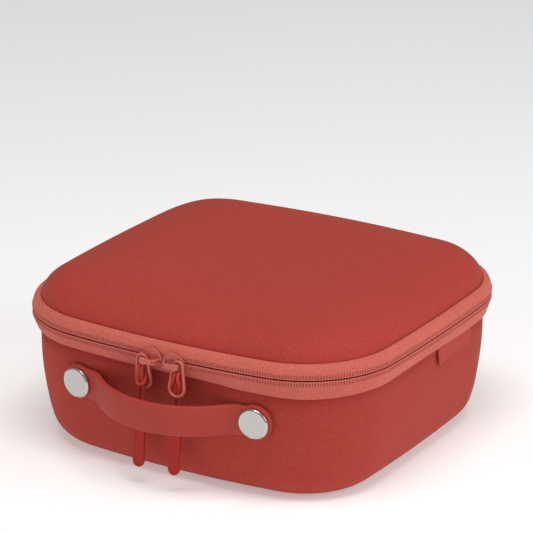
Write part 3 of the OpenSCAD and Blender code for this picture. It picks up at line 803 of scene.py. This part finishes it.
def label_piece():
    """A folded woven tab under the band. Its front edge stands off the wall, and a hem runs round it."""
    y0, y1 = LABEL_FROM, LABEL_FROM + LABEL_LEN
    z1 = FOOT_Z + 0.1
    z0 = z1 - LABEL_H
    columns, levels = 92, 22
    thick, hem = 0.45, 1.6

    def face(offset, y, z):
        """A point of the tab, `offset` out from its inner face."""
        inset = SEAM + WALL_R - math.sqrt(max(0, WALL_R ** 2 - (WALL_TOP - min(z, WALL_TOP)) ** 2))
        down = (z1 - z) / (z1 - z0)
        front = max(0.0, 1 - (y - y0) / 9.0)
        lift = 0.2 + 0.5 * down ** 1.5 + 1.1 * front * (0.25 + 0.75 * down)
        edge = min(y - y0, y1 - y, z - z0)
        fold = 0.3 * bell(edge, hem, 0.3)
        a = math.asin(y / SIDE_R)
        r = SIDE_R - inset + lift + offset - (fold if offset > thick else 0)
        return (-SIDE_C + r * math.cos(a), r * math.sin(a), z)

    outline_y = [y0 + (y1 - y0) * k / columns for k in range(columns + 1)]
    heights = [z1 - (z1 - z0) * k / levels for k in range(levels + 1)]
    loop = [(0.0, z) for z in heights] + [(thick, z0 - 0.25)] + [(thick * 2, z) for z in heights[::-1]]
    m = len(loop)
    verts = [face(o, y, z) for y in outline_y for o, z in loop]
    lengths = profile_lengths(loop) * MM
    uvs = []
    for u0, u1 in zip(outline_y, outline_y[1:]):
        for v0, v1 in zip(lengths, lengths[1:]):
            uvs += [(u0 * MM, v0), (u1 * MM, v0), (u1 * MM, v1), (u0 * MM, v1)]
        uvs += [(0, 0)] * 4
    uvs += [(0, 0)] * (2 * m)
    piece = add_mesh("label", verts, skin(columns + 1, m, flip=True), label_mat, "base", "label", uvs)
    tidy_mesh(piece, 0.000005)
    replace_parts(piece, "side_label")


label_piece()

# ---------------------------------------------------------------- handle

ON_WALL = Matrix.Translation(Vector((0, RIVET_Y, RIVET_Z))) @ Matrix.Rotation(RIVET_LEAN, 4, "X")


def rivet_place(side):
    return ON_WALL @ Matrix.Translation(Vector((side * RIVET_X, 0, 0))) @ Matrix.Rotation(
        side * RIVET_YAW, 4, "Z")


def strap_rows():
    """(x, y, heading) of the strap's middle line from the right pad's end to the middle of the bow."""
    def bend(r, a, b):
        """How far an arc of radius r carries the line from heading a to heading b."""
        return r * np.array([math.sin(b) - math.sin(a), math.cos(a) - math.cos(b)])

    root = np.array([RIVET_X, -(PAD_GAP + STRAP_T / 2)])
    heading = np.array([math.cos(RIVET_YAW), math.sin(RIVET_YAW)])
    bend_from = root - heading * ROOT_LEN
    bow_from = bend_from - bend(BEND_R, RIVET_YAW, BEND_A)
    bow_r = bow_from[0] / math.sin(BEND_A)
    rows = [(*(root + heading * PAD_D / 2 * math.cos(math.pi * k / 48)), RIVET_YAW) for k in range(25)]
    rows += [(*(root + (bend_from - root) * k / 5), RIVET_YAW) for k in range(1, 5)]
    for k in range(17):
        a = RIVET_YAW + k * (BEND_A - RIVET_YAW) / 16
        rows.append((*(bend_from - bend(BEND_R, RIVET_YAW, a)), a))
    for k in range(1, 33):
        a = BEND_A * (1 - k / 32)
        rows.append((*(bow_from - bend(bow_r, a, BEND_A)), a))
    return rows


def strap():
    half = strap_rows()
    rows = half + [(-x, y, -a) for x, y, a in half[-2::-1]]
    sides = 28
    pad, waist = PAD_D / 2, STRAP_W / 2
    neck_from, neck_over, bulge = 4, 16.0, 1.2
    verts = []
    for x, y, a in rows:
        # The distance past the rivet rounds the pad, and short of it the pad runs in to the strap's waist.
        past = (abs(x) - RIVET_X) / math.cos(RIVET_YAW)
        width = math.sqrt(pad * pad - past * past) if abs(past) < pad else 0.0
        if past <= 0:
            width = max(waist, width)
            if -past >= neck_from:
                width = waist + (width - waist) * (1 - min(1.0, -past / neck_over))
        thin = STRAP_T / 2
        if pad - past < bulge:
            thin -= bulge * 0.8 * (1 - math.sqrt(max(0.0, 1 - ((bulge - pad + past) / bulge) ** 2)))
        edge = min(1.3, width * 0.6, thin)
        for s in range(sides):
            c, d = math.cos(2 * math.pi * s / sides), math.sin(2 * math.pi * s / sides)
            off = math.copysign(thin - edge, c) + edge * c if abs(c) > 1e-6 else 0.0
            up = math.copysign(max(width, 0.02) - edge, d) + edge * d if abs(d) > 1e-6 else 0.0
            verts.append(ON_WALL @ Vector((x + off * math.sin(a), y - off * math.cos(a), up)))
    piece = add_mesh("strap", verts, skin(len(rows), sides, flip=True), silicone_mat, "base", "silicone")
    tidy_mesh(piece, 0.00002, 50)
    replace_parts(piece, "handle_strap")


strap()


def lathe(name, profile, place, material, body, slot):
    """Turns (radius, height) points about the local -y axis of a place."""
    sides = 72
    verts = []
    for s in range(sides):
        a = 2 * math.pi * s / sides
        verts += [place @ Vector((r * math.cos(a), -h, r * math.sin(a))) for r, h in profile]
    faces = skin(sides, len(profile), ring=False, closed=True, flip=True)
    return tidy_mesh(add_mesh(name, verts, faces, material, body, slot), 0.000005, 35)


CAP_Y = PAD_GAP + STRAP_T + 0.15
CAP_R, RIM_W = CAP_D / 2, 1.3
cap_outline = filleted(
    [(0.001, -9.1), (2.5, -9.1), (2.5, CAP_Y), (CAP_R - 0.5, CAP_Y), (CAP_R, CAP_Y + 0.5),
     (CAP_R, CAP_Y + 1.5), (CAP_R - 0.85, CAP_Y + 2.4), (CAP_R - 1.05, CAP_Y + 2.4),
     (CAP_R - 1.25, CAP_Y + 2.3), (0.001, CAP_Y + 2.3)],
    [0, 0, 0.1, 0.15, 0.25, 0.3, 0.12, 0.05, 0.06, 0], steps=4, closed=False)
for side, word in ((-1, "left"), (1, "right")):
    cap = lathe("cap_" + word, cap_outline, rivet_place(side), steel_mat, "base", "steel")
    cap.data.materials.append(rim_mat)
    axis = rivet_place(side).inverted()
    for face in cap.data.polygons:
        centre = axis @ (face.center / MM)
        if math.hypot(centre.x, centre.z) > CAP_R - RIM_W:
            face.material_index = 1
    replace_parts(cap, "rivet_" + word)
    paint(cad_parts["rivet_washer_" + word], steel_mat)

# ---------------------------------------------------------------- sliders, rings and pulls


def slider_place(side):
    angle = math.asin((MEET_X + side * (SLIDER_LEN / 2 + 0.2)) / FRONT_R)
    place = Matrix.Translation(Vector((0, FRONT_C, 0))) @ Matrix.Rotation(angle, 4, "Z")
    place = place @ Matrix.Translation(Vector((0, -FRONT_R, ZIP_Z)))
    return place @ Matrix.Diagonal(Vector((side, 1, 1, 1)))


def tube(points, radius, sides, closed):
    """(verts, faces, uvs) of a round tube along points in mm, with a steady frame."""
    pts = [Vector(p) for p in points]
    m = len(pts)
    tangents = []
    for i in range(m):
        a = pts[i - 1] if (closed or i > 0) else pts[i]
        b = pts[(i + 1) % m] if (closed or i < m - 1) else pts[i]
        tangents.append((b - a).normalized())
    normal = tangents[0].orthogonal().normalized()
    verts, uvs, lengths = [], [], [0.0]
    for i, tangent in enumerate(tangents):
        normal = (normal - tangent * normal.dot(tangent)).normalized()
        other = tangent.cross(normal)
        for s in range(sides):
            a = 2 * math.pi * s / sides
            verts.append(pts[i] + (normal * math.cos(a) + other * math.sin(a)) * radius)
        lengths.append(lengths[-1] + (pts[(i + 1) % m] - pts[i]).length)
    for i in range(m if closed else m - 1):
        u0, u1 = lengths[i] * MM, lengths[i + 1] * MM
        for s in range(sides):
            v0, v1 = 2 * math.pi * radius * s / sides * MM, 2 * math.pi * radius * (s + 1) / sides * MM
            uvs += [(u0, v0), (u0, v1), (u1, v1), (u1, v0)]
    if not closed:
        uvs += [(0, 0)] * (2 * sides)
    return verts, skin(m, sides, closed=closed), uvs


def shield_outline(length, height):
    """(x, z) round a slider's plate: what its flank arcs, its nose arcs and its end arcs all enclose."""
    circles = [(FLANK_X, FLANK_R - height / 2, FLANK_R), (FLANK_X, height / 2 - FLANK_R, FLANK_R),
               (NOSE_X, NOSE_Z, NOSE_R), (NOSE_X, -NOSE_Z, NOSE_R), (0.0, 0.0, length / 2)]
    points = []
    for k in range(72):
        c, d = math.cos(2 * math.pi * k / 72), math.sin(2 * math.pi * k / 72)
        reach = min(x * c + z * d + math.sqrt((x * c + z * d) ** 2 + r * r - x * x - z * z)
                    for x, z, r in circles)
        points.append((reach * c, reach * d))
    return points


def plate(length, height, y_from, thick, bulge=0.0):
    """(verts, faces) of a shield plate with a bevelled rim and a slightly domed face, from y_from outward."""
    ring = shield_outline(length, height)
    m = len(ring)
    rim = thick - 0.1
    layers = [(0.0, 0.25), (0.25, 0.0), (thick - 0.55, 0.0), (rim, 0.5), (thick, 0.75), (rim, 1.0)]
    verts = []
    for h, cut in layers:
        for x, z in ring:
            f = 1 - cut / math.hypot(x, z)
            verts.append((x * f, -(y_from + h), z * f))
    domes = 5
    for k in range(1, domes):
        for x, z in ring:
            f = (1 - 1.0 / math.hypot(x, z)) * (1 - k / domes)
            verts.append((x * f, -(y_from + rim + bulge * (1 - (1 - k / domes) ** 2)), z * f))
    verts.append((0, -(y_from + rim + bulge), 0))
    total = len(layers) + domes - 1
    faces = skin(total, m, caps=False)
    faces += [((total - 1) * m + k, (total - 1) * m + (k + 1) % m, total * m) for k in range(m)]
    return verts, faces + [tuple(range(m))]


def box_mesh(x0, x1, y0, y1, z0, z1):
    verts = [(x, y, z) for x in (x0, x1) for y in (y0, y1) for z in (z0, z1)]
    faces = [(0, 1, 3, 2), (4, 6, 7, 5), (0, 4, 5, 1), (2, 3, 7, 6), (0, 2, 6, 4), (1, 5, 7, 3)]
    return verts, faces


def sweep_bar(path, middle, half_h, half_t, sides=20):
    """(verts, faces) of a flattened bar along a plan path. half_h gives its half-height at a place (x, y)."""
    fine = []
    for (x0, y0), (x1, y1) in zip(path, path[1:]):
        steps = max(1, int(math.hypot(x1 - x0, y1 - y0) / 0.4))
        fine += [(x0 + (x1 - x0) * k / steps, y0 + (y1 - y0) * k / steps) for k in range(steps)]
    fine.append(path[-1])
    m = len(fine)
    verts = []
    for i, (x, y) in enumerate(fine):
        a, b = fine[max(0, i - 1)], fine[min(m - 1, i + 1)]
        size = math.hypot(b[0] - a[0], b[1] - a[1])
        nx, ny = -(b[1] - a[1]) / size, (b[0] - a[0]) / size
        for s in range(sides):
            phi = 2 * math.pi * (s + 0.5) / sides
            c, d = math.cos(phi), math.sin(phi)
            across = half_t * math.copysign(abs(c) ** 0.6, c)
            high = half_h(x, y) * math.copysign(abs(d) ** 0.5, d)
            verts.append((x + nx * across, y + ny * across, middle + high))
    return verts, skin(m, sides)


def bar_parts():
    """The bail: a post, a bar with a knob at its outer end, and two prongs back to the plate."""
    front = -(BAIL_IN + BAIL_OUT) / 2
    post_x, fork_x, root_x = RING_X + 0.15, -3.2, -6.7
    middle = (BAR_LOW + BAR_HIGH) / 2
    knob, waist = (BAR_HIGH - BAR_LOW) / 2, 1.85
    post = (BAIL_HIGH - BAIL_LOW) / 2
    knob_x = post_x + 0.75 - knob
    slit, prong_h = 1.02, 0.72

    def height(x, y):
        if y > front + 1.2:
            return post
        if x > knob_x:
            return max(0.85 * post, math.sqrt(max(0.0, knob ** 2 - (x - knob_x) ** 2)))
        return waist + (knob - waist) * ease(1 - (knob_x - x) / 2.8)

    bar = filleted([(post_x, -1.2), (post_x, front), (fork_x - 0.6, front)], [0, 1.5, 0], 7, closed=False)
    prong = filleted([(fork_x + 0.6, front), (fork_x - 1.6, front + 0.2), (root_x, -1.3)], [0, 1.4, 0], 6,
                     closed=False)
    prongs = [sweep_bar(prong, z, lambda x, y: prong_h, 0.7, 14) for z in (middle + slit, middle - slit)]
    return [sweep_bar(bar, middle, height, 0.75)] + prongs


def ring_points():
    """The teardrop's centre line, in the ring's own plane, as (x, z)."""
    span = RING_DROP - RING_TOP_R - RING_BOTTOM_R
    flare = math.asin((RING_BOTTOM_R - RING_TOP_R) / span)

    def side(a, b):
        return [(a[0] + (b[0] - a[0]) * k / 8, a[1] + (b[1] - a[1]) * k / 8) for k in range(1, 8)]

    top = arc_points((0, -RING_TOP_R), RING_TOP_R, flare, math.pi - flare, 24)
    bottom = arc_points((0, -RING_TOP_R - span), RING_BOTTOM_R, math.pi - flare, 2 * math.pi + flare, 32)
    return top + side(top[-1], bottom[0]) + bottom + side(bottom[-1], top[0])


def smooth_line(points, steps=6):
    """A smooth curve through points, as points close together."""
    pts = [Vector(p) for p in points]
    pts = [pts[0] * 2 - pts[1]] + pts + [pts[-1] * 2 - pts[-2]]
    out = []
    for a, b, c, d in zip(pts, pts[1:], pts[2:], pts[3:]):
        for k in range(steps):
            t = k / steps
            out.append(0.5 * (2 * b + (c - a) * t + (2 * a - 5 * b + 4 * c - d) * t * t
                              + (3 * b - a - 3 * c + d) * t ** 3))
    return out + [pts[-2]]


def cord_line(side):
    """One cord, from the tab up, over and down into its bight, and back: x, y out of the ring's middle, z.

    On the left pull the two strands hang in front and the bight crosses over them. On the right one the two
    legs of the bight hang in front, and it crosses behind."""
    strand = [(-STRAND_X, 0, z) for z in (TAB_TOP - 1.0, -37, -33, -29, -25, -21)]
    if side < 0:
        strand += [(-1.05, 0.1, -18), (-1.05, -0.5, -15), (-1.05, -1.1, -11.5), (-1.05, -1.3, -8.5)]
        over = [(-1.05, -1.2, -6.9), (-1.1, -0.8, -5.8), (-1.15, 0, -5.3), (-1.25, 0.8, -5.8),
                (-1.5, 1.25, -7.0)]
        bight = [(-2.0, 1.5, -9.0), (-2.6, 1.3, -11.5), (-2.95, 0.4, -14.0), (-2.7, -1.1, -16.2),
                 (-1.5, -2.0, -17.3)]
        lowest = (0, -2.2, -17.7)
    else:
        strand += [(-1.05, 0, -17.5), (-1.05, 0.1, -14), (-1.05, 0.4, -11), (-1.05, 0.5, -8.5)]
        over = [(-1.05, 0.4, -6.9), (-1.1, 0, -5.8), (-1.1, -0.6, -5.3), (-1.15, -1.3, -5.8),
                (-1.2, -1.7, -7.0)]
        bight = [(-1.5, -1.85, -9.2), (-2.1, -1.7, -11.4), (-2.7, -0.9, -13.5), (-2.6, 0.7, -15.0),
                 (-1.5, 1.9, -15.7)]
        lowest = (0, 2.2, -16.0)
    half = strand + over + bight
    return half + [lowest] + [(-x, y, z) for x, y, z in half[::-1]]


def tab_mesh():
    """(verts, faces) of the moulded tab: a rounded bar with a shallow panel on each face."""
    r, t = TAB_W / 2, TAB_T / 2
    shoulder = [(r, -6.0), (r, -2.0), (r - 0.35, -0.8), (r - 1.4, 0.0)]
    outline = arc_points((0, r - TAB_LEN), r, math.pi, 2 * math.pi, 16) + shoulder
    outline += [(-x, z) for x, z in shoulder[::-1]]

    def inner(p, cut):
        x, z = p
        middle = min(max(z, r - TAB_LEN), -r)
        size = math.hypot(x, z - middle)
        f = max(0.0, size - cut) / size
        return x * f, middle + (z - middle) * f

    front = [(t - 0.12, 0.15), (t, 0.5), (t, 1.1), (t - 0.3, 1.35), (t - 0.3, 2.2)]
    layers = [(-y, cut) for y, cut in front[::-1]] + [(-t + 0.45, 0.0), (t - 0.45, 0.0)] + front
    verts = []
    for y, cut in layers:
        for p in outline:
            x, z = inner(p, cut)
            verts.append((x, -y, z))
    return verts, skin(len(layers), len(outline))


def placed(place, points):
    return [place @ Vector(p) for p in points]


def dress_slider(side, word):
    place = slider_place(side)
    inner_verts, inner_faces = plate(INNER_LEN, INNER_H, 0.0, SLIDER_T)
    inner = ([(x, BACK_PLATE_Y - y, z) for x, y, z in inner_verts], inner_faces)
    neck = box_mesh(-3, 1, -PLATE_GAP - SLIDER_T / 2, BACK_PLATE_Y + SLIDER_T, -0.3, 0.3)
    verts, faces = combine([plate(SLIDER_LEN, SLIDER_H, PLATE_GAP, SLIDER_T, 0.2), inner, neck] + bar_parts())
    piece = add_mesh("slider_body_" + word, placed(place, verts), faces, paint_mat, "slider_" + word,
                     "slider_metal")
    tidy_mesh(piece, 0.000002, 40)
    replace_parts(piece, "slider_" + word)


def dress_ring(side, word):
    tilt = Matrix.Translation(Vector((RING_X, -RING_Y, PIVOT_Z))) @ Matrix.Rotation(-side * RING_TILT, 4, "X")
    tilt = slider_place(side) @ tilt @ Matrix.Translation(Vector((0, 0, RING_Z - PIVOT_Z)))
    verts, faces, uvs = tube([tilt @ Vector((x, 0, z)) for x, z in ring_points()], WIRE_R, 16, True)
    ring = add_mesh("ring_wire_" + word, verts, faces, paint_mat, "ring_" + word, "slider_metal", uvs)
    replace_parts(ring, "puller_ring_" + word)


def dress_pull(side, word):
    place = slider_place(side) @ Matrix.Translation(Vector((RING_X, -RING_Y, PIVOT_Z)))
    place = place @ Matrix.Rotation(side * PULL_LEAN, 4, "Y") @ Matrix.Translation(Vector((0, 0, -PIVOT_Z)))
    verts, faces = tab_mesh()
    tab = add_mesh("tab_" + word, [place @ Vector((x, y, z + TAB_TOP)) for x, y, z in verts], faces, tab_mat,
                   "pull_" + word, "tab_rubber")
    tidy_mesh(tab, 0.000002, 60)
    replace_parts(tab, "pull_tab_" + word)

    line = placed(place, smooth_line(cord_line(side)))
    verts, faces, uvs = tube(line, CORD_R, 14, False)
    cord = add_mesh("cord_" + word, verts, faces, cord_mat, "pull_" + word, "cord", uvs)
    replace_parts(cord, "pull_cord_" + word)


for side, word in ((-1, "left"), (1, "right")):
    dress_slider(side, word)
    dress_ring(side, word)
    dress_pull(side, word)

for name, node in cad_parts.items():
    if not node.data.materials:
        node.data.materials.append(shell_mat)
